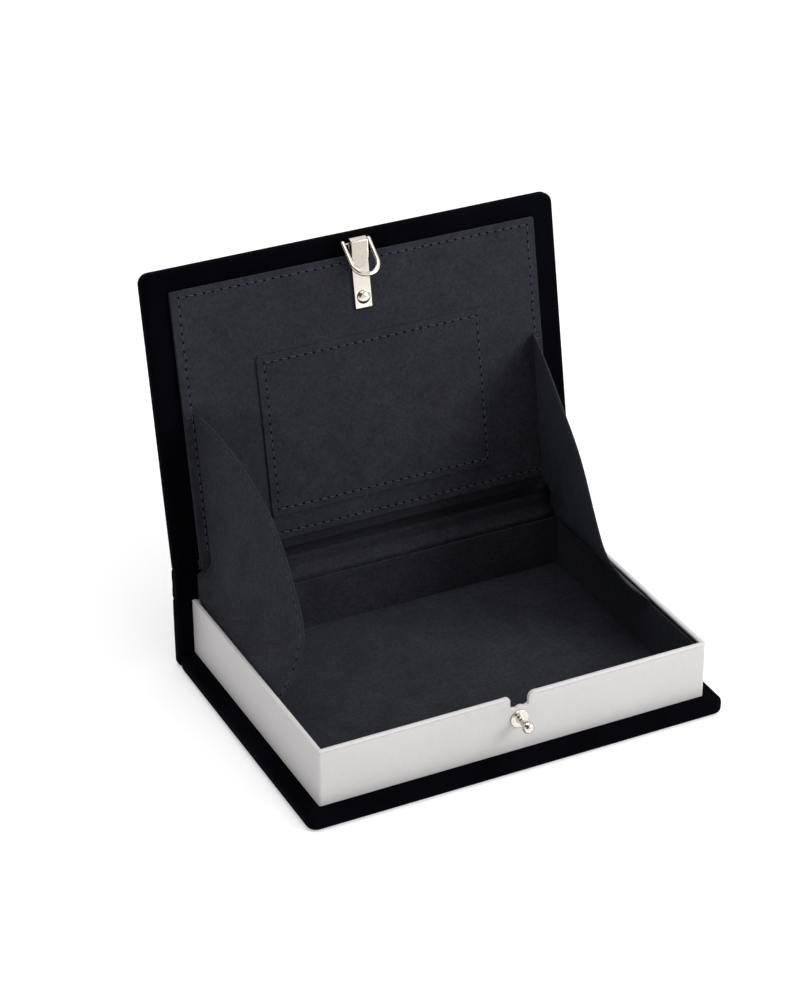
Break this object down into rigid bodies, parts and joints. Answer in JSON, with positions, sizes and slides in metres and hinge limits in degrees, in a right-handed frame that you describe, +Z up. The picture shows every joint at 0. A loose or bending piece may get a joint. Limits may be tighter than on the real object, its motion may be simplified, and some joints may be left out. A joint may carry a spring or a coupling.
{
  "type": "decorative book box",
  "caption": "Keepsake box shaped like a bound book: padded velvet covers, page-coloured tray lined with suede, hinged lid with pocket, gussets and ring clasp.",
  "frame": {"origin": "centre of the back cover's flat underside, on the surface the box stands on", "axes": "+Z up, -Y towards the front edge where the clasp is, +Y towards the spine, +X to the right as the open box is faced"},
  "size_m": [0.208, 0.1817, 0.1913],
  "materials": {
    "velvet": "near-black navy velvet with a pale sheen at the edges",
    "suede": "dark grey microsuede with a fine mottled nap",
    "leatherette": "pale grey-white leatherette, half matt",
    "greyboard": "raw grey board",
    "padding": "soft foam sheet",
    "gold_metal": "polished pale gold plating"
  },
  "bodies": {
    "tray": {"back_cover_board": "greyboard", "back_cover_padding": "padding", "back_cover_velvet": "velvet", "spine_board": "greyboard", "spine_padding": "padding", "spine_velvet": "velvet", "page_wrap": "leatherette", "wall_lining": "suede", "front_wall_board": "greyboard", "left_wall_board": "greyboard", "right_wall_board": "greyboard", "back_wall_board": "greyboard", "tray_floor_board": "greyboard", "front_liner": "suede", "back_liner": "suede", "left_liner": "suede", "right_liner": "suede", "floor_liner": "suede", "hinge_cloth": "velvet", "hinge_lining": "suede", "left_gusset_lower": "suede", "right_gusset_lower": "suede", "ball_stud": "gold_metal", "stud_screw": "gold_metal"},
    "lid": {"front_cover_board": "greyboard", "front_cover_padding": "padding", "front_cover_velvet": "velvet", "lid_panel_board": "greyboard", "lid_panel_suede": "suede", "pocket_panel": "suede", "clasp_strap": "gold_metal", "clasp_rivet": "gold_metal", "rivet_burr": "gold_metal", "left_gusset_upper": "suede", "right_gusset_upper": "suede"},
    "ring": {"clasp_ring": "gold_metal"}
  },
  "joints": [
    {"name": "lid_hinge", "type": "hinge", "parent": "tray", "child": "lid", "pos_m": [0, 0.0733, 0.0431], "axis": [1, 0, 0], "range_deg": [0, 100.5], "deforming": ["hinge_cloth", "hinge_lining", "left_gusset_lower", "right_gusset_lower", "left_gusset_upper", "right_gusset_upper"]},
    {"name": "clasp_ring_swing", "type": "hinge", "parent": "lid", "child": "ring", "pos_m": [-0.0002, 0.09104, 0.1885], "axis": [-1, 0, 0], "range_deg": [-32, 137]}
  ],
  "couplings": [
    {"joint": "clasp_ring_swing", "follows": "lid_hinge", "ratio": 0.46766}
  ]
}
